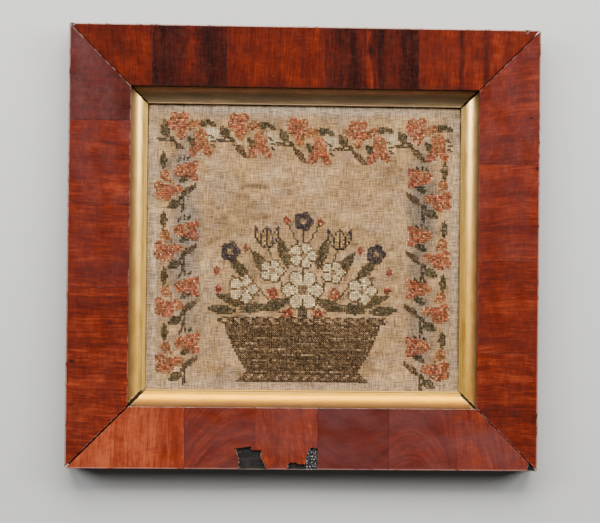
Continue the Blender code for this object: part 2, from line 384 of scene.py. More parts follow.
# Along a side, numbers run as in the frame's drawing. A band is (along, half width, darkening),
# a crown is (along, across, steepness) of an arched figure, and a second figure is (from along,
# slant, lightening, half width of the change), where the figure changes within a leaf. A knot is
# a small dark spot: (along, across, reach along the side, darkness).
LEAVES = {
    "bottom": (
        Leaf(
            0.85, 0.75, slant=-0.04, bend=-0.02, haze=0.3,
            bands=((-140, 8, -0.06), (-128, 3, 0.05), (-98.6, 1.8, 0.08), (-89.4, 3.2, 0.09)),
        ),
        Leaf(0.6, crown=(-33, 30, 0.0146), haze=0.75, second=(-33, 0.16, 0.1, 0.2)),
        Leaf(0.48, 0.6, crown=(38, 12, -0.02), haze=0.95),
        Leaf(0.58, crown=(74, 12, 0.034), haze=1, second=(108, 0.22, 0.1, 9)),
    ),
    "right": (
        Leaf(
            0.59, 1, bend=0.02, haze=0.15,
            bands=((-80, 2.5, -0.07), (-90, 2.5, -0.1), (-118, 10, 0.09)),
        ),
        Leaf(
            0.59, slant=0.05, bend=0.02, haze=0.2,
            bands=((-14, 8, 0.05), (-36.5, 2, -0.04), (-52, 2, 0.05), (-65, 2, 0.06)),
        ),
        Leaf(
            0.61, 0.8, slant=0.08, bend=0.02, haze=0.42,
            bands=((54, 4, -0.06), (40, 2, 0.07), (14, 3, 0.16)),
            knots=((57.6, 0.9, 1.8, 0.8), (35, 0.7, 1.1, 0.6)),
        ),
        Leaf(
            0.55, slant=0.17, bend=0.02, haze=0.5, bands=((100, 4, -0.06),), knots=((93.6, 6.7, 1, 0.85),)
        ),
    ),
    "top": (
        Leaf(0.5, slant=-0.05, haze=0.08, bands=((-125, 9, -0.08), (-110, 1.4, 0.2), (-128, 1.5, 0.2))),
        Leaf(
            0.32, 1, haze=0.05,
            bands=((-33.5, 3, 0.18), (-44, 1.8, -0.26), (-53, 2.2, 0.2), (-71, 4, 0.16)),
        ),
        Leaf(0.47, 0.85, slant=-0.06),
        Leaf(0.25, 1, slant=0.05, haze=0.05, bands=((66, 4, 0.14), (82, 3, -0.16), (98, 4, 0.1))),
        Leaf(0.47, slant=0.08, bands=((126, 7, -0.07),)),
    ),
    "left": (
        Leaf(0.34, 0.8, slant=-0.08, haze=0.8),
        Leaf(0.56, slant=-0.08, haze=0.5, bands=((-62, 2, 0.09), (-52, 2.5, 0.07), (-38, 4, -0.11))),
        Leaf(
            0.6, slant=-0.06, haze=0.35, bands=((-19, 2, 0.05), (4, 3, 0.07), (18, 6, 0.09)),
            knots=((18.3, 30.6, 1.2, 0.6),),
        ),
        Leaf(
            0.59, 1, slant=-0.02, haze=0.2,
            bands=((34, 8, 0.08), (71, 3, 0.02), (97, 2.5, -0.09), (104, 4, -0.06)),
            knots=((81, 4.6, 1.3, 0.8), (54, 30.5, 1.4, 0.5)),
        ),
    ),
}

# How pale a side's outer arris and inner edge are, from wear and a painted highlight, how much painted
# shade darkens its inner edge, where the pale edge of its mitre lies in mm from the corner's diagonal,
# and how pale that is, again from wear and a painted highlight
EDGES = {
    "bottom": (0.28, 0.2, 0.05, 0.8, 0.1), "right": (0.4, 0.08, 0.0, 0.6, 0.28),
    "top": (0.85, 0.0, 0.3, 0.5, 0.0), "left": (0.42, 0.22, 0.0, 0.7, 0.35),
}
FIRST_SEED = 10.0
SEED_STEP = 3.7
RAIL_MIDDLE = 22.0
print("leaves described:", sum(len(leaves) for leaves in LEAVES.values()))

# %% Finish of the veneer


def veneer_finish(name, side, leaf, seed):
    """Polished cross-banded veneer for one leaf."""
    finish = Finish(f"polished_{name}")
    along, across, _ = rail_place(finish, side)
    wander = finish.noise(along / 26.0, across / 34.0, seed) - 0.5
    line = along + leaf.slant * across + 4.0 * wander
    if leaf.bend:
        line = line + leaf.bend / 10.0 * (across - RAIL_MIDDLE) ** 2.0
    run = across / 30.0
    if leaf.crown:
        middle, top, steepness = leaf.crown
        reach = along - middle
        line = (across - top) + steepness * reach * reach + 7.0 * wander
        run = along / 40.0
    if leaf.second:
        limit, slant, lighter, soft = leaf.second
        is_second = (along + 6.0 * wander * soft / 9.0).rise(limit - soft, limit + soft)
        line = line + is_second * (along + slant * across + 4.0 * wander - line)
        run = run + is_second * (across / 30.0 - run)
    broad = finish.noise(line / 11.0, run * 0.5, seed + 3.1) - 0.5
    stripe = finish.noise(line / 2.3, run, seed + 5.7, detail=3.0, roughness=0.6) - 0.5
    fine = finish.noise(line / 0.75, run * 2.6, seed + 8.3, detail=3.0) - 0.5
    cloud = finish.noise(along / 5.0, across / 2.4, seed + 1.9, detail=4.0, roughness=0.6) - 0.5
    patch = finish.noise(along / 13.0, across / 10.0, seed + 7.3) - 0.5
    pores = finish.noise(line / 0.5, run * 6.0, seed + 9.5, detail=1.0).rise(0.62, 0.74)
    value = broad * 0.42 + stripe * 0.46 + fine * 0.56 + cloud * 0.28 + patch * 0.36
    value = leaf.tone + leaf.contrast * value
    if leaf.second:
        value = value + is_second * lighter
    for middle, half_width, darkening in leaf.bands:
        edge = abs(along - middle + 5.0 * wander + 3.0 * patch + 1.2 * stripe)
        fade = 1.0 + 1.6 * patch
        value = value - darkening * fade * edge.rise(half_width * 1.9, half_width * 0.3)
    wood = finish.ramp(value, [
        (0.0, (0.009, 0.002, 0.002)), (0.22, (0.03, 0.005, 0.003)), (0.42, (0.068, 0.008, 0.004)),
        (0.6, (0.122, 0.013, 0.004)), (0.8, (0.228, 0.031, 0.009)), (1.0, (0.405, 0.08, 0.026)),
    ])
    wood = wood.blend(pores * 0.45, (0.018, 0.004, 0.003))
    # A mauve veil on some leaves is a painted sheen; the same mask also dulls the coat.
    sheen_and_dullness_mask = finish.noise(along / 30.0, across / 16.0, seed + 2.2, detail=3.0)
    sheen_and_dullness_mask = sheen_and_dullness_mask.rise(0.18, 0.72) * leaf.haze
    wood = wood.blend(sheen_and_dullness_mask * 0.55, (0.118, 0.046, 0.048))
    speck = finish.noise(along / 0.9, across / 0.9, seed + 6.4, detail=0.0).rise(0.895, 0.915)
    wood = wood.blend(speck * 0.5, (0.4, 0.28, 0.22))
    rub = finish.noise(along / 6.0, across / 3.0, seed + 4.4, detail=3.0)
    arris_wear_and_highlight, inner_wear_and_highlight, inner_shade, mitre_edge, mitre_wear_and_highlight = EDGES[side]
    inner_edge = RAIL_WIDTH * TO_MM
    # Pale outer arris, inner edge and mitre: partly wear, partly a painted highlight where edges catch
    # the light.
    outer = across.rise(1.45, 0.8) * rub.rise(0.3, 0.46)
    inner = across.rise(inner_edge - 0.75, inner_edge - 0.3) * rub.rise(0.44, 0.6)
    mitre = past_mitre(side, along, across).rise(mitre_edge + 0.65, mitre_edge + 0.2)
    mitre = mitre * rub.rise(0.44, 0.6) * mitre_wear_and_highlight
    for knot_along, knot_across, reach, dark in leaf.knots:
        one = (along - knot_along) / reach
        two = (across - knot_across) / (1.6 * reach)
        knot = (one * one + two * two + 1.6 * fine).rise(1.1, 0.3)
        wood = wood.blend(knot * dark, (0.02, 0.008, 0.007))
    # The pale edges together: wear and painted highlight.
    worn = (outer * arris_wear_and_highlight + inner * inner_wear_and_highlight + mitre).lower(0.85)
    wood = wood.blend(worn, (0.56, 0.36, 0.3))
    cut = finish.facing().rise(0.35, 0.15) * across.rise(0.7, 1.2)
    wood = wood.blend(cut * 0.8, (0.03, 0.011, 0.008))
    # Painted shade darkens the inner edge, most on the top side.
    inner_shade_mask = across.rise(inner_edge - 5.0, inner_edge - 0.5) * inner_shade
    wood = wood.blend(inner_shade_mask, (0.03, 0.01, 0.007))
    gloss = 0.17 + 0.08 * cloud.rise(-0.15, 0.2) + 0.12 * pores + 0.1 * sheen_and_dullness_mask
    relief = finish.bump(0.6 * stripe + 0.4 * fine - 0.55 * pores + 0.25 * cloud, 0.00002)
    return finish.surface(
        Base_Color=wood, Roughness=gloss, Specular_IOR_Level=0.3, Coat_Weight=0.3 - 0.2 * sheen_and_dullness_mask,
        Coat_Roughness=0.06, Normal=relief,
    )


seed = FIRST_SEED
for side, leaves in LEAVES.items():
    for number, leaf in enumerate(leaves, start=1):
        name = f"veneer_{side}_{number}"
        clothe(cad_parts[name], veneer_finish(name, side, leaf, seed))
        seed += SEED_STEP
print("veneer materials:", sum(1 for each in bpy.data.materials if each.name.startswith("polished")))

# %% [markdown]
# Between two leaves of veneer the real joint is a hair of brown glue, not an open slot. Each strip
# here starts as a cube, is cut along its length and has its top shaken a little, so that the
# line breaks and dips as old glue does.

# %% Glue in the joints of the veneer
JOINTS = {
    "bottom": (-82.9, 10.8, 60.8),
    "right": (-73.2, -8.1, 60.6),
    "top": (-79.7, -12.9, 55.5, 108.3),
    "left": (-88.0, -29.6, 29.2),
}
CHIPPED_JOINT = ("bottom", 10.8)
CHIP_END = 16.2 * MM
GLUE_START = 0.7 * MM
GLUE_WIDTH = 0.26 * MM
GLUE_TOP = 21.97 * MM
GLUE_CUTS = 14
GROUND = CARCASE_TOP + 0.02 * MM


def make_piece(name, body, material, smooth_angle=None):
    """Makes the bmesh a piece of the picture with that finish, riding on its body."""
    mesh = bpy.data.meshes.new(name)
    body.to_mesh(mesh)
    body.free()
    if smooth_angle is not None:
        mesh.shade_smooth()
        mesh.set_sharp_from_angle(angle=math.radians(smooth_angle))
    piece = put_in_scene(name, mesh)
    clothe(piece, material)
    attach(piece, "root")
    print(name, "faces:", len(mesh.polygons))
    return piece


def glue_strip(side, along, start, shake):
    """A mesh of one strip of glue across the rail at a joint, let into the slot between leaves."""
    body = bmesh.new()
    end = RAIL_WIDTH - 0.5 * MM
    size = Matrix.Diagonal((GLUE_WIDTH, end - start, GLUE_TOP - GROUND, 1.0))
    middle = Vector((along * MM, (start + end) / 2, (GLUE_TOP + GROUND) / 2))
    bmesh.ops.create_cube(body, size=1.0, matrix=Matrix.Translation(middle) @ size)
    long_edges = [edge for edge in body.edges if edge.calc_length() > 5.0 * MM]
    bmesh.ops.subdivide_edges(body, edges=long_edges, cuts=GLUE_CUTS, use_grid_fill=True)
    for vertex in body.verts:
        if vertex.co.z > middle.z:
            vertex.co.z -= shake.uniform(0.0, 0.3) * MM
    bmesh.ops.transform(body, matrix=side_matrix(side), verts=body.verts)
    mesh = bpy.data.meshes.new("glue_strip")
    body.to_mesh(mesh)
    body.free()
    return mesh


def grainy_finish(name, clouds, stops, depth, roughness):
    """A rough stuff with that many clouds of colour to the mm each way."""
    finish = Finish(name)
    x, y, z = finish.place()
    grain = finish.noise(x * clouds[0], y * clouds[1], z * clouds[2], detail=3.0)
    colour, relief = finish.ramp(grain, stops), finish.bump(grain, depth)
    return finish.surface(Base_Color=colour, Roughness=roughness, Normal=relief)


old_glue = grainy_finish(
    "old_glue", (1.4, 1.4, 1.4), [(0.35, (0.02, 0.006, 0.004)), (0.68, (0.075, 0.017, 0.01))], 0.0001, 0.6
)

glue_body = bmesh.new()
glue_shake = random.Random(4)
for side, places in JOINTS.items():
    for along in places:
        start = CHIP_END if (side, along) == CHIPPED_JOINT else GLUE_START
        glue_body.from_mesh(glue_strip(side, along, start, glue_shake))
make_piece("joint_glue", glue_body, old_glue)

# %% [markdown]
# Where veneer has broken away it leaves a pale, splintery edge, thick against the leaf and
# feathered out onto the ground. Each edge here is a wedge that is pushed along the outline of
# the chip with repeated extrusions, and its foot wanders at random, so it looks torn.

# %% Torn edges round the chips


def push(body, face):
    """Extrudes a face without moving it yet, and gives the new face and its points."""
    made = bmesh.ops.extrude_face_region(body, geom=[face])["geom"]
    points = [part for part in made if isinstance(part, bmesh.types.BMVert)]
    return next(part for part in made if isinstance(part, bmesh.types.BMFace)), points


def in_order(points, old_points):
    """The new points in the order of the old ones that they lie on."""
    return [min(points, key=lambda point: (point.co - old.co).length) for old in old_points]


# Each chip has its side, how far its splinters reach and its outline in mm along and across
CHIPS = (
    ("bottom", 1.0, ((-44.9, 0.6), (-44.7, 7.3), (-46.2, 11.8), (-47.6, 14.9), (-35.7, 16.3),
                     (-35.2, 13.7), (-28.1, 13.8), (-28.8, 10.4), (-28.7, 7.7), (-26.8, 5.5),
                     (-25.2, 1.2))),
    ("bottom", 1.0, ((-10.5, 0.6), (-10.3, 3.9), (-8.3, 5.1), (-4.7, 5.3), (-2.0, 4.1), (2.3, 4.2),
                     (2.9, 10.0), (4.7, 14.9), (7.0, 15.8), (10.5, 15.2))),
    ("bottom", 1.2, ((158.8, 0.6), (159.3, 3.0), (159.9, 4.6))),
    ("top", 1.8, ((-158.5, 0.6), (-156.6, 3.6), (-154.8, 0.6))),
    ("top", 2.0, ((162.6, 0.5), (162.9, 2.3), (163.3, 2.5))),
    ("left", 2.0, ((-153.6, 2.1), (-153.4, 2.1), (-152.8, 0.5))),
)
SPLINTER_PITCH = 0.7
CREST = (20.95, 21.75)


def along_outline(outline, pitch):
    """Points every pitch or so along a run of points, each with the way into the chip."""
    found = []
    for (x0, u0), (x1, u1) in zip(outline, outline[1:]):
        length = math.hypot(x1 - x0, u1 - u0)
        steps = max(1, round(length / pitch))
        inward = ((u1 - u0) / length, -(x1 - x0) / length)
        for step in range(steps):
            share = (step + 0.5) / steps
            found.append((x0 + (x1 - x0) * share, u0 + (u1 - u0) * share, inward))
    return found


def torn_edge(body, side, longest, outline, shake):
    """A splintery wedge pushed along one chip's outline, its foot at most that many mm out."""
    face = None
    added = []
    for x, u, (in_x, in_u) in along_outline(outline, SPLINTER_PITCH):
        reach = longest * shake.choice((0.25, 0.4, 0.6, 0.9)) * shake.uniform(0.7, 1.3)
        near = Vector(((x + in_x * 0.06) * MM, (u + in_u * 0.06) * MM, GROUND))
        crest = Vector((near.x, near.y, shake.uniform(*CREST) * MM))
        foot = Vector(((x + in_x * reach) * MM, max(u + in_u * reach, 0.3) * MM, GROUND))
        if face is None:
            corners = [body.verts.new(place) for place in (near, crest, foot)]
            face = bmesh.ops.contextual_create(body, geom=corners)["faces"][0]
        else:
            face, fresh = push(body, face)
            corners = in_order(fresh, corners)
            for corner, place in zip(corners, (near, crest, foot)):
                corner.co = place
        added += corners
    bmesh.ops.transform(body, matrix=side_matrix(side), verts=added)


broken_wood = grainy_finish(
    "broken_wood", (2.2, 0.9, 2.2),
    [(0.34, (0.06, 0.042, 0.034)), (0.52, (0.19, 0.15, 0.122)), (0.7, (0.34, 0.29, 0.25))],
    0.00015, 0.85
)

torn_body = bmesh.new()
torn_shake = random.Random(11)
for side, longest, outline in CHIPS:
    torn_edge(torn_body, side, longest, outline, torn_shake)
bmesh.ops.recalc_face_normals(torn_body, faces=torn_body.faces)
make_piece("torn_edges", torn_body, broken_wood)

# %% [markdown]
# The gilt slip is a length of cove moulding, mitred like the rails. Its arc is made by spinning
# one point about the cove's centre, the rest of the section is closed with a few points, and the
# face is extruded to length and sawn at both ends. Cuts across it let the surface waver by a few
# hundredths of a millimetre, as hand-laid gesso does. It stands for the frame's plainer slip.

# %% The gilt cove slip
SLIP_OUTER = 38.0 * MM
SLIP_TOP = 17.5 * MM
SLIP_BOTTOM = 8.9 * MM
COVE_START = 43.9 * MM
COVE_END = SIGHT_EDGE - 0.9 * MM
COVE_END_HEIGHT = 10.5 * MM
COVE_STEEP = math.radians(62.0)
COVE_FLAT = math.radians(8.0)
COVE_STEPS = 28
FILLET_RISE = 0.4 * MM
STATION_PITCH = 6.0 * MM

# How far each mitre stands open, outside and inside. The corner comes after the side it is named for.
MITRES = {
    "left": (1.2 * MM, 1.1 * MM), "bottom": (0.7 * MM, 0.45 * MM),
    "right": (0.8 * MM, 0.55 * MM), "top": (0.4 * MM, 0.7 * MM),
}


def cut(body, place, normal, clear_outer=False):
    """Cuts a mesh through by a plane, and takes away what lies beyond it if asked to."""
    everything = body.verts[:] + body.edges[:] + body.faces[:]
    bmesh.ops.bisect_plane(
        body, geom=everything, dist=1e-7, plane_co=place, plane_no=normal, clear_outer=clear_outer
    )


def saw_mitre(body, length, end, opening):
    """Saws one end of a moulding at its mitre and closes the cut. end is 1 or -1."""
    outside, inside = (gap / math.sqrt(2) for gap in opening)
    outer = Vector((end * (length / 2 - outside), 0.0, 0.0))
    inner = Vector((end * (length / 2 - SIGHT_EDGE - inside), SIGHT_EDGE, 0.0))
    run = inner - outer
    cut(body, outer, Vector((end * run.y, -end * run.x, 0.0)), clear_outer=True)
    rim = [edge for edge in body.edges if edge.is_boundary]
    bmesh.ops.holes_fill(body, edges=rim, sides=0)


def slip_body(side):
    """A length of cove moulding, drawn along the side and then put in its place."""
    length = SIDE_LENGTH[side]
    body = bmesh.new()
    chord = math.hypot(COVE_END - COVE_START, SLIP_TOP - COVE_END_HEIGHT)
    radius = chord / (2 * math.sin((COVE_STEEP - COVE_FLAT) / 2))
    centre = (-length / 2, COVE_START + radius * math.sin(COVE_STEEP),
              SLIP_TOP + radius * math.cos(COVE_STEEP))
    first = body.verts.new((-length / 2, COVE_START, SLIP_TOP))
    bmesh.ops.spin(
        body, geom=[first], cent=centre, axis=(1.0, 0.0, 0.0), dvec=(0.0, 0.0, 0.0),
        angle=COVE_STEEP - COVE_FLAT, steps=COVE_STEPS, use_merge=False, use_normal_flip=False,
        use_duplicate=False
    )
    last = max(body.verts, key=lambda vertex: vertex.co.y)
    top = last.co.z + FILLET_RISE
    for across, height in (
        (COVE_END, top), (SIGHT_EDGE, top), (SIGHT_EDGE, SLIP_BOTTOM), (SLIP_OUTER, SLIP_BOTTOM),
        (SLIP_OUTER, SLIP_TOP),
    ):
        corner = body.verts.new((-length / 2, across, height))
        body.edges.new((last, corner))
        last = corner
    body.edges.new((last, first))
    section = bmesh.ops.contextual_create(body, geom=body.edges[:])["faces"][0]
    bmesh.ops.translate(body, vec=(length, 0.0, 0.0), verts=push(body, section)[1])
    arrises = [
        edge for edge in body.edges
        if edge.calc_length() > length / 2 and abs(edge.verts[0].co.z - top) < 1e-6
    ]
    bmesh.ops.bevel(
        body, geom=arrises, offset=0.18 * MM, segments=3, profile=0.5, affect="EDGES", material=-1
    )
    bmesh.ops.recalc_face_normals(body, faces=body.faces)
    saw_mitre(body, length, 1, MITRES[side])
    saw_mitre(body, length, -1, MITRES[SIDES[SIDES.index(side) - 1]])
    for station in range(1, round(length / STATION_PITCH)):
        cut(body, (-length / 2 + station * STATION_PITCH, 0.0, 0.0), (1.0, 0.0, 0.0))
    phase = SIDE_TURN[side]
    for vertex in body.verts:
        if vertex.co.z > SLIP_BOTTOM + 0.5 * MM and vertex.co.y > COVE_START + 1.0 * MM:
            along, across = vertex.co.x / MM, vertex.co.y / MM
            wave = math.sin(along / 9.3 + across / 4.1 + phase) + math.sin(along / 4.7 - across + phase)
            vertex.co.z += 0.02 * MM * wave
    bmesh.ops.transform(body, matrix=side_matrix(side), verts=body.verts)
    bmesh.ops.recalc_face_normals(body, faces=body.faces)
    return body


# Each side's gold. It goes over by a share to a colour of its own, a lit or shaded copy of the gold:
# the bottom's bright orange is a painted highlight and the top's dull brown is painted shade. Towards
# the wood it takes on some blue. Dirt and painted shade lie in the corner by the wood (their strength,
# and where they end in mm across) and in the quirk, and a painted shadow lies along the sight edge. The
# gilt next to the linen carries a painted highlight, and the dark cracks of its first and last mitres
# have their widths in mm.
Gold = namedtuple("Gold", "share own blue wood_grime grime_end quirk_grime sight_line lip cracks")
GOLD = {
    "bottom": Gold(1.0, (0.96, 0.43, 0.0), 0.16, 0.88, 51.3, 0.1, 0.0, 0.85, (1.2, 1.6)),
    "right": Gold(0.4, (0.8, 0.42, 0.07), 0.09, 0.85, 48.2, 0.7, 0.45, 0.25, (1.2, 1.2)),
    "top": Gold(0.75, (0.49, 0.36, 0.26), 0.07, 0.6, 47.0, 0.7, 0.95, 0.0, (1.2, 0.8)),
    "left": Gold(0.4, (0.98, 0.58, 0.12), 0.11, 0.78, 50.6, 0.4, 0.3, 0.6, (0.8, 2.4)),
}

# Where parts of the slip lie, in mm across
BY_WOOD, QUIRK = 43.6, 53.75
BLUE_BAND, HIGHLIGHT_BAND, FILLET, SIGHT_SHADOW = (47.8, 44.9), (52.5, 53.3), (53.9, 54.2), (54.66, 54.84)


def gilt_finish(side):
    """Old gold leaf: bright where clean or given a painted highlight, brown in the corners from dirt and
    painted shade, worn through in places.
    """
    finish = Finish(f"gold_leaf_{side}")
    look = GOLD[side]
    along, across, height = rail_place(finish, side)
    seed = SIDE_TURN[side] / 7.0
    cloud = finish.noise(along / 14.0, across / 5.0, seed, detail=3.0)
    grit = finish.noise(along / 0.8, across / 0.6, seed + height / 0.8, detail=3.0)
    scuff = finish.noise(along / 5.0, across / 0.9, seed + 4.0, detail=4.0)
    sheet = finish.noise((along / 78.0 + 0.37).floor(), seed, 0.5, scale=3.0)
    gold = finish.ramp(cloud * 0.55 + grit * 0.25 + sheet * 0.2, [
        (0.32, (0.5, 0.26, 0.04)), (0.5, (0.76, 0.42, 0.07)), (0.68, (0.92, 0.58, 0.13)),
    ])
    # Each side's own colour: a painted highlight on the bottom and painted shade on the top.
    gold = gold.blend(look.share, look.own)
    burnish = 0.0
    # On the upright sides a painted highlight brightens the gold towards the top; the gloss rises with
    # it.
    if side in ("left", "right"):
        upward_highlight = (-along if side == "left" else along).rise(-50.0, 105.0)
        gold = gold.blend(upward_highlight * 0.75, (1.0, 0.66, 0.22))
        burnish = upward_highlight * 0.12
    # Towards the wood the gold takes on some blue.
    gold = gold.blend(across.rise(*BLUE_BAND), (0.0, 0.0, look.blue), kind="ADD")
    # Darker beside the wood and in the quirk: partly dirt, partly painted shade.
    dirt_and_shade_by_wood = (across + 2.2 * (cloud - 0.5)).rise(look.grime_end, BY_WOOD)
    quirk = abs(across - QUIRK).rise(0.5, 0.1)
    dirt_and_shade = (dirt_and_shade_by_wood * look.wood_grime).higher(quirk * look.quirk_grime)
    dirt_and_shade = dirt_and_shade.higher(scuff.rise(0.6, 0.74) * 0.35)
    gold = gold.blend(dirt_and_shade, (0.052, 0.034, 0.016))
    rub = finish.noise(along / 3.0, across / 1.6, seed + 8.0, detail=5.0, roughness=0.65)
    on_fillet = across.rise(*FILLET)
    wear = rub + 0.1 * on_fillet
    bare = wear.rise(0.69, 0.74)
    gold = gold.blend(wear.rise(0.66, 0.69) * 0.7, (0.26, 0.1, 0.045))
    gold = gold.blend(bare, (0.6, 0.5, 0.36))
    speck = finish.noise(along / 0.7, across / 0.7, seed + 2.0).rise(0.74, 0.78)
    gold = gold.blend(speck * 0.7, (0.03, 0.02, 0.012))
    near_end, far_end = look.cracks
    crack = near_end + along.rise(-1.0, 1.0) * (far_end - near_end)
    ragged = past_mitre(side, along, across) + 2.2 * (rub - 0.5)
    chipped = ragged.rise(crack + 1.2, crack + 0.6) * crack.rise(1.15, 1.25)
    gold = gold.blend(chipped * scuff.rise(0.44, 0.52), (0.86, 0.7, 0.42))
    open_mitre = ragged.rise(crack + 0.25, crack)
    gold = gold.blend(open_mitre, (0.012, 0.007, 0.004))
    # A painted highlight on the gilt next to the linen, strongest on the bottom side.
    lip = across.rise(*HIGHLIGHT_BAND) * look.lip
    gold = gold.blend(lip, (1.0, 0.62, 0.12))
    # On the top side the fillet is darkened with painted shade.
    if side == "top":
        gold = gold.blend(on_fillet * 0.5, (0.16, 0.11, 0.06))
    # A painted shadow along the sight edge, darkest on the top side.
    sight = across.rise(*SIGHT_SHADOW) * look.sight_line
    gold = gold.blend(sight * 0.85, (0.03, 0.018, 0.01))
    dead = bare.higher(sight).higher(open_mitre.higher(lip * 0.75))
    metal = 0.92 * (1.0 - dead) * (1.0 - 0.4 * dirt_and_shade)
    roughness = 0.33 - burnish + 0.16 * cloud + 0.25 * bare.higher(dirt_and_shade)
    streak = finish.noise(along / 22.0, across / 0.8, seed + 6.0, detail=3.0)
    gold = gold.blend(streak.rise(0.58, 0.38) * 0.26, (0.3, 0.14, 0.02))
    relief = finish.bump(grit * 0.5 + scuff * 0.5 - 0.6 * bare, 0.00012)
    return finish.surface(
        Base_Color=gold, Metallic=metal, Roughness=roughness, Specular_Tint=(1.0, 0.7, 0.18),
        Normal=relief,
    )


for side in SIDES:
    slip = make_piece(f"gilt_{side}", slip_body(side), gilt_finish(side), smooth_angle=28.0)
    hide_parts(f"slip_{side}")

# %% [markdown]
# The board behind the linen is hidden from the front. It is plain sawn softwood, so one grain
# pattern that runs across the picture is enough for it.

# %% Finish of the backing board
board_finish = Finish("sawn_board")
x, y, z = board_finish.place()
ring = board_finish.noise(x / 90.0, y / 5.0, z / 5.0, detail=3.0, distortion=0.4)
fibre = board_finish.noise(x / 12.0, y / 0.5, z / 0.5)
board_colour = board_finish.ramp(ring * 0.7 + fibre * 0.3, [
    (0.32, (0.15, 0.085, 0.04)), (0.5, (0.27, 0.165, 0.085)), (0.7, (0.37, 0.25, 0.14)),
])
board_relief = board_finish.bump(ring * 0.4 + fibre * 0.6, 0.0002)
sawn_board = board_finish.surface(Base_Color=board_colour, Roughness=0.8, Normal=board_relief)
clothe(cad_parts["backing_board"], sawn_board)
print("board finished")

# %% [markdown]
# The linen isn't flat: it has a broad swell and a few soft cockles near its lower corners. The
# heights repeat the frame's own linen and add ripples of a few hundredths of a millimetre. The
# cloth was also laced up unevenly, so its threads bow downwards along the top. `thread_place`
# and `cloth_place` go between the picture and the threads, counted in stitches from the top left.

# %% Shape of the linen
Swell = namedtuple("Swell", "x y reach_x reach_y rise turn")
SWELLS = (
    Swell(2, -8, 70, 60, 0.35, 0),
    Swell(-66, -78, 12, 34, 0.45, 18),
    Swell(-24, -86, 10, 26, 0.5, -8),
    Swell(30, -84, 11, 30, 0.4, 6),
    Swell(84, -62, 13, 42, 0.5, -22),
    Swell(88, 38, 14, 40, 0.3, 10),
    Swell(-88, 30, 16, 46, 0.3, -6),
)
SWELL_CEILING = 0.8
SWELL_MARGIN = 9.0
STITCH_X = 1.365 * MM
STITCH_Y = 1.33 * MM
BOWS = ((22.0, 5.2), (85.0, 1.6))
BOW_REACH = 40.0
BOW_TOP = 80.0
BOW_FADE = 70.0


def cloth_height(x, y):
    """Height of the linen's face at places in metres, which may be arrays."""
    across, up = np.asarray(x) / MM, np.asarray(y) / MM
    height = np.zeros(np.broadcast(across, up).shape)
    for swell in SWELLS:
        turn = math.radians(swell.turn)
        one = (across - swell.x) * math.cos(turn) + (up - swell.y) * math.sin(turn)
        two = (up - swell.y) * math.cos(turn) - (across - swell.x) * math.sin(turn)
        height = height + swell.rise * np.exp(-((one / swell.reach_x) ** 2) - (two / swell.reach_y) ** 2)
    height = np.minimum(height, SWELL_CEILING)
    ripple = np.sin(across / 5.3 + 0.9 * np.sin(up / 17.0)) * np.sin(up / 7.9 + across / 23.0)
    inside = np.minimum(SIGHT_X / MM - np.abs(across), SIGHT_Y / MM - np.abs(up))
    share = np.clip(inside / SWELL_MARGIN, 0.0, 1.0)
    share = share * share * (3.0 - 2.0 * share)
    return LINEN_TOP + (height + 0.06 * ripple) * share * MM


def bow(x, y):
    """How far the threads are pulled down the picture at a place, in metres."""
    across, up = np.asarray(x) / MM, np.asarray(y) / MM
    pull = sum(amount * np.exp(-(((across - middle) / BOW_REACH) ** 2)) for middle, amount in BOWS)
    fade = np.exp(-((np.maximum(BOW_TOP - up, 0.0) / BOW_FADE) ** 2))
    return pull * fade * MM


def cloth_place(column, row):
    """Where a place counted in stitches lies on the picture."""
    x = -SIGHT_X + np.asarray(column) * STITCH_X
    y = SIGHT_Y - np.asarray(row) * STITCH_Y
    return x, y - bow(x, y)


def thread_place(x, y):
    """The stitches' count at a place on the picture: the other way round."""
    straight = y
    for _ in range(4):
        straight = y + bow(x, straight)
    return (x + SIGHT_X) / STITCH_X, (SIGHT_Y - straight) / STITCH_Y


print("stitches across and down:", [round(float(v), 1) for v in thread_place(SIGHT_X, -SIGHT_Y)])

# %% [markdown]
# The sheet is a fine grid shaped by that height, with a Solidify modifier for its thickness. A UV
# map named weave holds each place's count of stitches, so that the weave bends with the threads.

# %% The linen sheet
LINEN_CELLS = (128, 118)

linen_body = bmesh.new()
bmesh.ops.create_grid(linen_body, x_segments=LINEN_CELLS[0], y_segments=LINEN_CELLS[1], size=0.5)
linen_size = Matrix.Diagonal((*LINEN_SIZE, 1.0, 1.0))
bmesh.ops.transform(linen_body, matrix=linen_size, verts=linen_body.verts)
weave_map = linen_body.loops.layers.uv.new("weave")
for vertex in linen_body.verts:
    vertex.co.z = float(cloth_height(vertex.co.x, vertex.co.y))
    place = thread_place(vertex.co.x, vertex.co.y)
    for loop in vertex.link_loops:
        loop[weave_map].uv = (float(place[0]), float(place[1]))


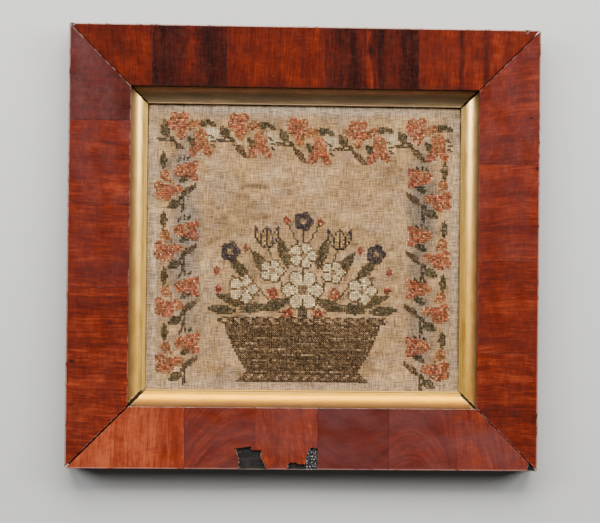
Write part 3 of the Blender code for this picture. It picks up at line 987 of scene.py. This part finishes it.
# Each stain has its middle, its reach each way in mm, its strength and its colour
LINEN_STAINS = (
    (-30, 62, 46, 20, 0.45, (0.27, 0.155, 0.07)),
    (0, 20, 60, 40, 0.22, (0.3, 0.18, 0.085)),
    (60, 78, 34, 16, 0.3, (0.29, 0.175, 0.08)),
    (72, 12, 24, 40, 0.25, (0.42, 0.29, 0.155)),
    (-70, -40, 20, 46, 0.25, (0.4, 0.28, 0.155)),
    (0, 98, 112, 3.4, 0.6, (0.46, 0.37, 0.27)),
    (-86, 58, 11, 10, 0.6, (0.23, 0.18, 0.135)),
    (-84, 6, 14, 80, 0.85, (0.205, 0.16, 0.12)),
    (84, 24, 13, 64, 1, (0.16, 0.12, 0.086)),
    (84, -58, 12, 34, 0.75, (0.205, 0.155, 0.112)),
    (-106, -10, 2.2, 90, 0.6, (0.56, 0.42, 0.26)),
    (108, -4, 2, 84, 0.5, (0.48, 0.36, 0.22)),
    (16, 66, 16, 12, 0.4, (0.27, 0.155, 0.07)),
    (-67, 80.5, 8, 6.5, 0.75, (0.52, 0.43, 0.25)),
    (-25, 77, 8, 6, 0.6, (0.5, 0.41, 0.24)),
    (18, 74.5, 8, 6, 0.6, (0.5, 0.41, 0.24)),
    (61, 78, 8, 6, 0.6, (0.5, 0.41, 0.24)),
    (-34, 43.6, 16, 2.6, 0.9, (0.14, 0.082, 0.042)),
    (-33, 22, 17, 3.8, 0.62, (0.2, 0.12, 0.06)),
    (-44, 56, 15, 8, 0.45, (0.46, 0.29, 0.11)),
    (24, 46, 13, 9, 0.4, (0.3, 0.175, 0.085)),
    (-60, 46, 9, 22, 0.35, (0.3, 0.225, 0.16)),
)


def linen_finish():
    """Open plain-weave linen with uneven threads, faded at the edges and stained with age."""
    finish = Finish("old_linen")
    column, row = finish.own_map("weave")
    x, y, _ = finish.place()
    warp, weft = column * 2.0, row * 2.0
    warp_noise = finish.noise(warp * 1.05, weft * 0.085, 3.0, roughness=0.6)
    weft_noise = finish.noise(warp * 0.085, weft * 1.05, 9.0, roughness=0.6)
    warp_band = finish.noise(warp * 0.3, weft * 0.045, 13.0)
    weft_band = finish.noise(warp * 0.045, weft * 0.3, 17.0)
    warp_slub = finish.noise(warp, weft * 0.13, 21.0, detail=1.0)
    weft_slub = finish.noise(warp * 0.13, weft, 27.0, detail=1.0)
    turn = 2.0 * math.pi
    warp_shape = 0.5 + 0.5 * (warp * turn + 1.2 * (weft_slub - 0.5)).sine()
    weft_shape = 0.5 + 0.5 * (weft * turn + 1.2 * (warp_slub - 0.5)).sine()
    over = (warp * math.pi + math.pi / 4).sine() * (weft * math.pi + math.pi / 4).sine()
    warp_high = warp_shape * (0.62 + 0.38 * over) * (0.55 + 0.9 * warp_slub)
    weft_high = weft_shape * (0.62 - 0.38 * over) * (0.55 + 0.9 * weft_slub)
    thread = warp_high.higher(weft_high)
    streak = 2.2 * (warp_noise + weft_noise - 1.0) + 0.4 * (warp_band + weft_band - 1.0)
    crossing = finish.noise(warp * 0.8, weft * 0.8, 25.0, detail=1.0)
    knot = finish.noise(warp * 1.9, weft * 1.9, 43.0, detail=0.0)
    patch = finish.noise(x / 8.5, y / 7.0, 8.0)
    fibre = finish.noise(x / 0.25, y / 0.25, 2.0)
    cloud = finish.noise(x / 34.0, y / 34.0, 5.0, detail=4.0, roughness=0.55)
    flax = finish.ramp(0.5 + 0.6 * (patch - 0.5) + 0.95 * (cloud - 0.5), [
        (0.2, (0.165, 0.096, 0.045)), (0.5, (0.368, 0.219, 0.101)), (0.8, (0.64, 0.418, 0.217)),
    ])
    warmth = finish.noise(x / 15.0, y / 12.0, 12.0, detail=3.0)
    flax = flax.blend(warmth.rise(0.5, 0.66) * 0.45, (0.44, 0.27, 0.105))
    flax = flax.blend(warmth.rise(0.48, 0.34) * 0.4, (0.33, 0.235, 0.165))
    edge = (SIGHT_X * TO_MM - abs(x)).lower(SIGHT_Y * TO_MM - abs(y))
    pale = (edge + 9.0 * (cloud - 0.5)).rise(13.0, 2.0)
    flax = flax.blend(pale * 0.45, (0.43, 0.33, 0.23))
    for middle_x, middle_y, reach_x, reach_y, share, stain in LINEN_STAINS:
        one = (x - middle_x) / reach_x
        two = (y - middle_y) / reach_y
        spot = (one * one + two * two + 1.2 * (cloud - 0.5)).rise(1.1, 0.0)
        flax = flax.blend(spot * share, stain)
    grain = 1.0 + 1.38 * streak + 1.0 * (crossing - 0.5) + 2.3 * (knot - 0.5)
    grain = grain.higher(0.4).lower(1.75)
    flax = flax.shaded(grain)
    # The gaps between threads are painted darker: painted shade.
    gap_shade = thread.rise(0.34, 0.12)
    flax = flax.blend(gap_shade * 0.62, (0.09, 0.052, 0.026))
    # A painted shadow of the slip lies on the linen along the sight edge, darkest along the top.
    wander = finish.noise(x / 7.0, y / 7.0, 31.0, detail=3.0)
    corner = (x - y).rise(60.0, 190.0)
    line = (edge - 1.7 * (wander - 0.42) - 1.6 * corner * wander).rise(0.75, 0.25)
    line = line * (0.1 + 0.45 * y.rise(-86.0, -80.0) + 0.45 * y.rise(70.0, 84.0))
    flax = flax.blend(line * 0.95, (0.03, 0.019, 0.012))
    relief = finish.bump(thread + 0.25 * fibre, 0.00022)
    return finish.surface(Base_Color=flax, Roughness=0.93, Specular_IOR_Level=0.2, Normal=relief)


linen = make_piece("linen_sheet", linen_body, linen_finish(), smooth_angle=180.0)
thickness = linen.modifiers.new("thickness", "SOLIDIFY")
thickness.thickness = LINEN_THICKNESS
thickness.offset = -1.0
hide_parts("linen")

# %% [markdown]
# A cross stitch is two short legs of wool yarn: one slants one way and the second crosses over
# it. One leg is modelled once, as a five-sided tube that is extruded through a few rings, thick in
# the middle and tucked into the cloth at its ends. Every stitch is then a copy of it, placed from
# arrays of numbers, because thousands of separate objects would be slow. Each copy also gets its
# own square of a UV map for baking, a map of its yarn for the twist, and one for the painted shade at
# its ends.

# %% One leg of a stitch
LEG_SIDES = 5
LEG_HALF_LENGTH = 0.9 * MM
LEG_RINGS = ((-1.0, 0.15, -0.1), (-0.45, 0.29, 0.2), (0.45, 0.29, 0.2), (1.0, 0.15, -0.1))


def leg_shape():
    """A bmesh of one leg along X, with each point's ring and its place round the ring."""
    body = bmesh.new()
    stand = Matrix.Rotation(math.radians(90.0), 4, "Y")
    bmesh.ops.create_circle(body, cap_ends=True, segments=LEG_SIDES, radius=1.0, matrix=stand)
    face = body.faces[:][0]
    ring = list(face.verts)
    spokes = [vertex.co.copy() for vertex in ring]
    order = {}
    for number, (place, radius, lift) in enumerate(LEG_RINGS):
        if number:
            face, fresh = push(body, face)
            ring = in_order(fresh, ring)
        for spoke_number, (vertex, spoke) in enumerate(zip(ring, spokes)):
            vertex.co = Vector((
                place * LEG_HALF_LENGTH, spoke.y * radius * MM, (lift + 0.8 * spoke.z * radius) * MM
            ))
            order[vertex] = (number, spoke_number)
    bmesh.ops.recalc_face_normals(body, faces=body.faces)
    return body, order


def leg_arrays():
    """The leg as arrays: its points, its faces' corners and sizes, and each corner's girth and length."""
    body, order = leg_shape()
    body.verts.index_update()
    points = np.array([vertex.co for vertex in body.verts])
    corners, sizes, wrapped = [], [], []
    last = len(LEG_RINGS) - 1
    for face in body.faces:
        sizes.append(len(face.verts))
        places = [order[vertex] for vertex in face.verts]
        is_cap = len(face.verts) == LEG_SIDES
        spokes = {spoke for _, spoke in places}
        for vertex, (ring, spoke) in zip(face.verts, places):
            corners.append(vertex.index)
            if is_cap:
                angle = 2 * math.pi * spoke / LEG_SIDES
                side = 0.05 if ring == 0 else 0.95
                wrapped.append((side + 0.045 * math.cos(angle), 0.5 + 0.4 * math.sin(angle)))
                continue
            girth = spoke + (LEG_SIDES if spoke == 0 and LEG_SIDES - 1 in spokes else 0)
            wrapped.append((0.12 + 0.76 * ring / last, 0.04 + 0.92 * girth / LEG_SIDES))
    body.free()
    return points, np.array(corners), np.array(sizes), np.array(wrapped)


LEG_POINTS, LEG_CORNERS, LEG_SIZES, LEG_WRAP = leg_arrays()
print("points in a leg:", len(LEG_POINTS), "faces:", len(LEG_SIZES))

# %% [markdown]
# `sew` turns a list of stitches into one mesh. For each it finds its place on the cloth, lays two
# legs at about 45 degrees with a little shake, lifts the second over the first and colours both
# from the wool, lighter or darker by a few parts in a hundred. Some crosses have lost a leg.

# %% Sewing
WOOLS = {
    "salmon": (0.37, 0.09, 0.033), "rose": (0.33, 0.07, 0.034), "rust": (0.35, 0.11, 0.036),
    "apricot": (0.39, 0.105, 0.034), "brick": (0.33, 0.072, 0.026), "moss": (0.042, 0.04, 0.021),
    "olive": (0.054, 0.046, 0.023), "bark": (0.038, 0.032, 0.019), "umber": (0.078, 0.046, 0.023),
    "peat": (0.046, 0.027, 0.014), "hazel": (0.115, 0.07, 0.034), "straw": (0.23, 0.145, 0.075),
    "cream": (0.76, 0.6, 0.34), "navy": (0.016, 0.019, 0.036), "cherry": (0.23, 0.02, 0.014),
    "mustard": (0.38, 0.245, 0.09),
}
LEG_ANGLE = math.atan2(STITCH_Y, STITCH_X)
LOST_LEG = 0.05

# How far shades spread in pale and in other wools, their limits, and how far wools can fade
PALE_SPREAD, SPREAD = 0.26, 0.5
DARKEST, LIGHTEST = 0.32, 2.2
WARM_FADE, DARK_FADE = 0.6, 0.14
FADED = (0.56, 0.36, 0.2)


def wool_finish():
    """Two-ply wool: the copy's own colour, painted shade in the grooves between its plies and at its
    ends, and a soft fuzz.
    """
    finish = Finish("crewel_wool")
    wool = finish.node("ShaderNodeAttribute", {"attribute_name": "wool"})
    length, girth = finish.own_map("yarn")
    x, y, z = finish.place()
    twist = 0.5 + 0.5 * ((length * 4.5 + girth) * (2.0 * math.pi)).sine()
    fuzz = finish.noise(x / 0.16, y / 0.16, z / 0.16, detail=3.0, roughness=0.6)
    # The leg's ends get painted shade where the yarn tucks into the cloth.
    end = abs(finish.own_map("leg")[0] - 0.5)
    # The grooves between the plies are painted darker: painted shade.
    shade = twist.rise(0.0, 0.55) * 0.3 + 0.5 * fuzz + 0.5
    colour = wool.shaded(shade * (1.0 - 0.62 * end.rise(0.14, 0.38)))
    relief = finish.bump(0.6 * twist + 0.8 * fuzz, 0.00012)
    return finish.surface(Base_Color=colour, Roughness=0.92, Specular_IOR_Level=0.1, Normal=relief)


crewel_wool = wool_finish()


def stitch_legs(stitches, shake):
    """Each leg's count place, angle, lift, girth and colour, from (column, row, wool) stitches."""
    rows = []
    for column, row, wool in stitches:
        red = WOOLS[wool][0]
        spread = PALE_SPREAD if red > 0.4 else SPREAD
        shade = min(max(math.exp(shake.gauss(-0.5 * spread ** 2, spread)), DARKEST), LIGHTEST)
        fade = shake.random() ** 3 * (WARM_FADE if red > 0.2 else DARK_FADE)
        colour = [shade * (tone + fade * (pale - tone)) for tone, pale in zip(WOOLS[wool], FADED)]
        lost = shake.random() < LOST_LEG
        for number, lean in enumerate((1.0, -1.0)):
            if number and lost:
                continue
            place = (column + 0.5 + shake.gauss(0, 0.035), row + 0.5 + shake.gauss(0, 0.035))
            angle = lean * LEG_ANGLE + shake.gauss(0, 0.05)
            lift = 0.13 * number * MM
            girth = shake.uniform(0.86, 1.12) * (1.0 if number else 0.95)
            leg_colour = [tone * shake.uniform(0.94, 1.06) for tone in colour]
            rows.append((*place, angle, lift, girth, *leg_colour))
    return np.array(rows)


def sew(name, stitches, seed):
    """One piece of wool work: all its stitches as a single mesh."""
    legs = stitch_legs(stitches, random.Random(seed))
    count, points = len(legs), len(LEG_POINTS)
    column, row, angle, lift, girth = (legs[:, part, None] for part in range(5))
    x, y = cloth_place(column, row)
    slope_x = (cloth_height(x + 0.5 * MM, y) - cloth_height(x - 0.5 * MM, y)) / MM
    slope_y = (cloth_height(x, y + 0.5 * MM) - cloth_height(x, y - 0.5 * MM)) / MM
    local_x, local_y = LEG_POINTS[:, 0], LEG_POINTS[:, 1] * girth
    out_x = local_x * np.cos(angle) - local_y * np.sin(angle)
    out_y = local_x * np.sin(angle) + local_y * np.cos(angle)
    arch = 1.0 - (local_x / LEG_HALF_LENGTH) ** 2
    out_z = LEG_POINTS[:, 2] * girth + arch * lift + out_x * slope_x + out_y * slope_y
    places = np.stack([x + out_x, y + out_y, cloth_height(x, y) + out_z], axis=-1)
    mesh = bpy.data.meshes.new(name)
    mesh.vertices.add(count * points)
    mesh.vertices.foreach_set("co", places.ravel())
    corners = (LEG_CORNERS + points * np.arange(count)[:, None]).ravel()
    mesh.loops.add(len(corners))
    mesh.loops.foreach_set("vertex_index", corners)
    sizes = np.tile(LEG_SIZES, count)
    starts = np.concatenate([[0], np.cumsum(sizes)[:-1]])
    mesh.polygons.add(len(sizes))
    mesh.polygons.foreach_set("loop_start", starts)
    mesh.update(calc_edges=True)
    squares = math.ceil(math.sqrt(count))
    square = np.stack([np.arange(count) % squares, np.arange(count) // squares], axis=-1)
    baked = (0.04 + 0.92 * LEG_WRAP + square[:, None]) / squares
    yarn = LEG_WRAP + np.random.default_rng(seed).random((count, 1, 2))
    leg = np.broadcast_to(LEG_WRAP, yarn.shape)
    for map_name, numbers in (("OFBake", baked), ("yarn", yarn), ("leg", leg)):
        layer = mesh.uv_layers.new(name=map_name)
        layer.uv.foreach_set("vector", numbers.astype(np.float32).ravel())
    wool = mesh.attributes.new("wool", "FLOAT_COLOR", "POINT")
    colours = np.concatenate([legs[:, 5:8], np.ones((count, 1))], axis=1)
    wool.data.foreach_set("color", np.repeat(colours, points, axis=0).astype(np.float32).ravel())
    mesh.shade_smooth()
    mesh.validate()
    piece = put_in_scene(name, mesh)
    clothe(piece, crewel_wool)
    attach(piece, "root")
    print(name, "stitches:", len(stitches), "triangles:", int((sizes - 2).sum()))
    return piece


# %% [markdown]
# The border repeats one motif of two flowers, their leaves and a stem, 31 stitches wide and 25
# deep. It was charted from the real repeat by counting: each row of a petal or leaf is a run of
# stitches from a first to a last column. Up the sides the worker turned the motif, drew its
# second flower and its tall leaf smaller, and let each repeat wander by a stitch or two.

# %% The border's chart
FIRST_FLOWER = (
    ("salmon", 0, (6, 8)), ("salmon", 0, (11, 13), (5, 14), (5, 14), (5, 14), (6, 13)),
    ("rose", 4, (4, 5), (4, 12), (4, 12), (4, 12), (5, 12), (6, 11)),
    ("apricot", 10, (8, 13), (8, 12), (8, 12), (9, 12), (9, 11)),
)
SECOND_FLOWER = (
    ("apricot", 9, (19, 22), (18, 23), (18, 24), (18, 24), (18, 24), (18, 24), (18, 24), (17, 24)),
    ("rose", 17, (17, 21), (16, 21), (15, 20), (15, 20), (15, 19), (15, 19), (15, 17)),
    ("brick", 17, (22, 24), (22, 25), (21, 25), (22, 26), (22, 26), (23, 26), (24, 25)),
)
SIDE_SECOND_FLOWER = (
    ("apricot", 10, (19, 21), (18, 22), (17, 23), (17, 23), (17, 23), (17, 23), (19, 24)),
    ("rose", 16, (16, 18), (16, 20), (16, 20), (15, 20), (15, 19), (15, 19), (15, 18)),
    ("brick", 17, (21, 24), (21, 24), (21, 24), (20, 25), (20, 25), (22, 25)),
)
SIDE_PETAL = (("rust", 3, (16, 19), (16, 20), (15, 20), (15, 20), (15, 19), (14, 16)),)
PETAL = (("rust", 4, (16, 19), (14, 20), (13, 20), (13, 20), (13, 18), (12, 16)),)
ARCH_LEAF = (("moss", 4, (21, 25), (20, 27), (20, 28), (21, 23)), ("moss", 7, (26, 28)))
FIRST_LEAF = (("olive", 4, (1, 2), (1, 3), (1, 3), (2, 3)),)
TALL_LEAF = (("moss", 3, (23, 28), (21, 30), (22, 29), (25, 26)),)
STEM_AND_LEAVES = (
    ("moss", 13, (14, 15), (14, 17), (14, 17), (15, 17), (15, 18), (16, 17)),
    ("olive", 7, (0, 1), (0, 3), (0, 4), (0, 4), (0, 4), (1, 4), (2, 3)),
    ("bark", 14, (-2, 2), (-1, 5)), ("bark", 13, (4, 6), (5, 7), (6, 7)),
    ("bark", 12, (25, 26), (26, 27)), ("bark", 15, (26, 28)), ("bark", 17, (26, 27), (27, 28)),
)
LOW_LEAF = (("umber", 16, (7, 8), (7, 10), (8, 11), (8, 12), (9, 12), (10, 13), (11, 13), (12, 14)),)
LEFT_LOW_LEAF = (("umber", 14, (8, 8), (7, 9), (7, 10), (8, 11), (8, 11), (9, 12), (10, 12), (11, 13)),)
REPEAT = 31


def chart_stitches(*parts):
    """Those parts of the motif as (column, row, wool)."""
    return [
        (column, row, wool)
        for part in parts
        for wool, first_row, *runs in part
        for row, (first, last) in enumerate(runs, start=first_row)
        for column in range(first, last + 1)
    ]


MOTIF = chart_stitches(STEM_AND_LEAVES, LOW_LEAF, ARCH_LEAF, PETAL, FIRST_FLOWER, SECOND_FLOWER)
LEFT_MOTIF = chart_stitches(
    STEM_AND_LEAVES, LEFT_LOW_LEAF, TALL_LEAF, SIDE_PETAL, FIRST_FLOWER, SIDE_SECOND_FLOWER
)
RIGHT_MOTIF = chart_stitches(STEM_AND_LEAVES, LOW_LEAF, FIRST_FLOWER)
RIGHT_FLOWER = chart_stitches(SIDE_SECOND_FLOWER)
RIGHT_TIP = chart_stitches(TALL_LEAF, SIDE_PETAL)

# The top repeats start at these columns. A side's repeats have their start row and outer column.
# On the right the second flower sits two stitches higher, and the tips one stitch further out. The
# first low leaf of the top stops short of the left border.
TOP_STARTS = (6.5, 37.5, 68.5, 99.5, 130.5)
LEFT_STARTS = ((25, 3.5), (57, 4.0), (87, 4.5), (117, 5.0))
RIGHT_STARTS = ((28, 158.0), (60, 158.0), (89, 157.5), (120, 157.5))
top_work = [(start + c, 4 + r, wool) for start in TOP_STARTS for c, r, wool in MOTIF]
top_work += [(TOP_STARTS[0] + c, 4 + r, wool) for c, r, wool in chart_stitches(FIRST_LEAF)]
top_work = [work for work in top_work if work[2] != "umber" or work[0] > 22 or work[1] < 24]
left_work, right_work = [], []
for start, edge in LEFT_STARTS:
    left_work += [(edge + r, start + REPEAT - 1 - c, wool) for c, r, wool in LEFT_MOTIF]
for start, edge in RIGHT_STARTS:
    right_work += [(edge - r, start + REPEAT - 1 - c, wool) for c, r, wool in RIGHT_MOTIF]
    right_work += [(edge - r, start + REPEAT - 3 - c, wool) for c, r, wool in RIGHT_FLOWER]
    right_work += [(edge + 1 - r, start + REPEAT - 1 - c, wool) for c, r, wool in RIGHT_TIP]
print("stitches in one repeat:", len(MOTIF))

# %% Sew the border
wool_pieces = [
    sew("border_top", top_work, 21),
    sew("border_left", left_work, 22),
    sew("border_right", right_work, 23),
]

# %% [markdown]
# The middle of the picture holds a plain design of this lesson's own: a woven basket of garden
# flowers, of a kind found on many samplers. Each part is a simple shape, such as a leaf, a
# tulip or a blossom, that decides which stitches of the count lie inside it.

# %% Shapes on the count of stitches
MIDDLE = 81
LEAF_HALF_WIDTH = 2.9


def pairs(*places):
    """Places given by their columns from the middle, each on its left and then on its right."""
    return [(side, MIDDLE + side * place[0], *place[1:]) for place in places for side in (-1, 1)]


def around(reach):
    """The stitches of a square about its middle one."""
    return [(c, r) for c in range(-reach, reach + 1) for r in range(-reach, reach + 1)]


def leaf_cells(column, row, angle, length):
    """A pointed olive leaf about its middle, with a rib of moss."""
    turn = math.radians(angle)
    cells = {}
    for c, r in around(length):
        along = c * math.cos(turn) + r * math.sin(turn)
        across = abs(r * math.cos(turn) - c * math.sin(turn))
        if abs(along) <= length and across <= LEAF_HALF_WIDTH * (1.0 - (along / length) ** 2):
            cells[(column + c, row + r)] = "moss" if across < 0.5 else "olive"
    return cells


def stem_cells(c0, r0, c1, r1):
    """A stem of moss, one stitch wide, from one place to another."""
    steps = max(abs(c1 - c0), abs(r1 - r0))
    shares = [step / steps for step in range(steps + 1)]
    return {(round(c0 + (c1 - c0) * share), round(r0 + (r1 - r0) * share)): "moss" for share in shares}


def blossom_cells(column, row, reach, petals, wools):
    """A round blossom of petals. The wools are for its petals, their edges and its heart."""
    petal, edge, heart = wools
    cells = {}
    for c, r in around(math.ceil(reach) + 1):
        distance, angle = math.hypot(c, r), math.atan2(r, c)
        wave = abs(math.cos(petals * angle / 2))
        limit = reach * (0.74 + 0.26 * wave)
        seam = wave < 0.3 and distance > 0.38 * reach
        wool = edge if seam or distance > limit - 0.9 else petal
        if distance <= limit:
            cells[(column + c, row + r)] = heart if distance < 0.26 * reach else wool
    return cells


def tulip_cells(column, row, wools):
    """An upright tulip of three points, outlined and striped down its cup."""
    cup, stripe = wools
    shape = set()
    for r, half in enumerate((6, 6, 6, 6, 6, 6, 6, 5, 5, 4, 3, 2)):
        for c in range(-half, half + 1):
            if r > 3 or abs(abs(c) - 3.2) > 2.3 - 0.6 * r:
                shape.add((c, r))
    cells = {}
    for c, r in shape:
        inside = {(c - 1, r), (c + 1, r), (c, r - 1), (c, r + 1)} <= shape
        cells[(column + c, row + r)] = cup if inside and c % 3 else stripe
    return cells


print("middle column:", MIDDLE)

# %% The basket
BASKET_TOP, BASKET_FOOT = 113, 143


def course(half):
    """The columns of a course that reaches that far each side of the middle."""
    return range(MIDDLE - half, MIDDLE + half + 1)


def basket_cells():
    """A flared basket woven of brown wool with straw flecks."""
    choose = random.Random(8)
    cells = {}
    for row in range(BASKET_TOP + 4, BASKET_FOOT):
        share = (row - BASKET_TOP) / (BASKET_FOOT - BASKET_TOP)
        half = round(41 - 13 * share ** 1.4)
        number, level = divmod(row, 3)
        for column in course(half):
            place = (column + 5 * (number % 2)) % 10
            if place == 0 or column == MIDDLE - half:
                fleck = choose.choice(("straw", "straw", "hazel", "umber"))
                ground = choose.choice(("umber", "umber", "hazel", "peat"))
            wool = ground if level and place else "peat"
            if level == 1 and 1 <= place <= 7:
                wool = fleck
            cells[(column, row)] = "peat" if abs(column - MIDDLE) == half else wool
    return cells


def rim_cells():
    """The basket's plaited rim and its foot."""
    cells = {}
    for row, (half, shift) in enumerate(((43, 0), (44, 2), (44, 2), (43, 0))):
        for column in course(half):
            cells[(column, BASKET_TOP + row)] = "straw" if (column + shift) % 6 < 3 else "peat"
    for row in range(5):
        for column in course(30 + row):
            wool = "straw" if (column + row) % 5 < 2 else "umber"
            cells[(column, BASKET_FOOT + row)] = "peat" if row in (0, 4) else wool
    return cells


# %% [markdown]
# The flowers are laid over one another like cut paper: leaves and stems first, then small
# flowers, then the big roses, and each later shape takes the stitches of the one below.

# %% The flowers
ROSE = ("cream", "hazel", "straw")
foliage, flowers = {}, {}
for side, column, row, angle, length in pairs(
    (36, 104, -20, 10), (30, 96, -35, 9), (22, 84, -55, 9), (10, 78, -75, 9), (42, 109, -5, 8),
    (14, 106, 20, 8), (0, 109, 90, 6), (26, 108, 10, 8), (33, 87, -45, 7),
):
    turned = angle if side > 0 else 180 - angle
    foliage.update(leaf_cells(column, row, turned, length))
for side, start, low, reach, high in pairs(
    (0, 110, 0, 66), (6, 108, 18, 76), (12, 110, 36, 82), (2, 74, 8, 62),
):
    foliage.update(stem_cells(start, low, MIDDLE + side * reach, high))
for _, column, row in pairs((19, 64)):
    flowers.update(tulip_cells(column, row, ("mustard", "navy")))
for _, column, row in pairs((38, 78), (0, 60)):
    flowers.update(blossom_cells(column, row, 5.6, 5, ("navy", "navy", "straw")))
for _, column, row in pairs((9, 60), (30, 76), (44, 98), (45, 88)):
    flowers.update(blossom_cells(column, row, 2.2, 1, ("cherry", "cherry", "cherry")))
for _, column, row, reach in pairs((31, 98, 8.5), (0, 79, 8.0), (16, 88, 7.0)):
    flowers.update(blossom_cells(column, row, reach, 5, ROSE))
flowers.update(blossom_cells(MIDDLE, 98, 11.5, 6, ROSE))
for _, column, row in pairs((16, 100), (8, 111)):
    flowers.update(blossom_cells(column, row, 3.6, 5, ("cherry", "brick", "straw")))

basket = basket_cells()
rim = rim_cells()
flowers = {cell: wool for cell, wool in flowers.items() if cell not in rim}
foliage = {cell: wool for cell, wool in foliage.items() if cell not in flowers and cell not in rim}
for seed, (name, cells) in enumerate((
    ("basket_body", basket), ("basket_rim", rim), ("flowers", flowers), ("foliage", foliage),
), start=31):
    wool_pieces.append(sew(name, [(c, r, wool) for (c, r), wool in sorted(cells.items())], seed))
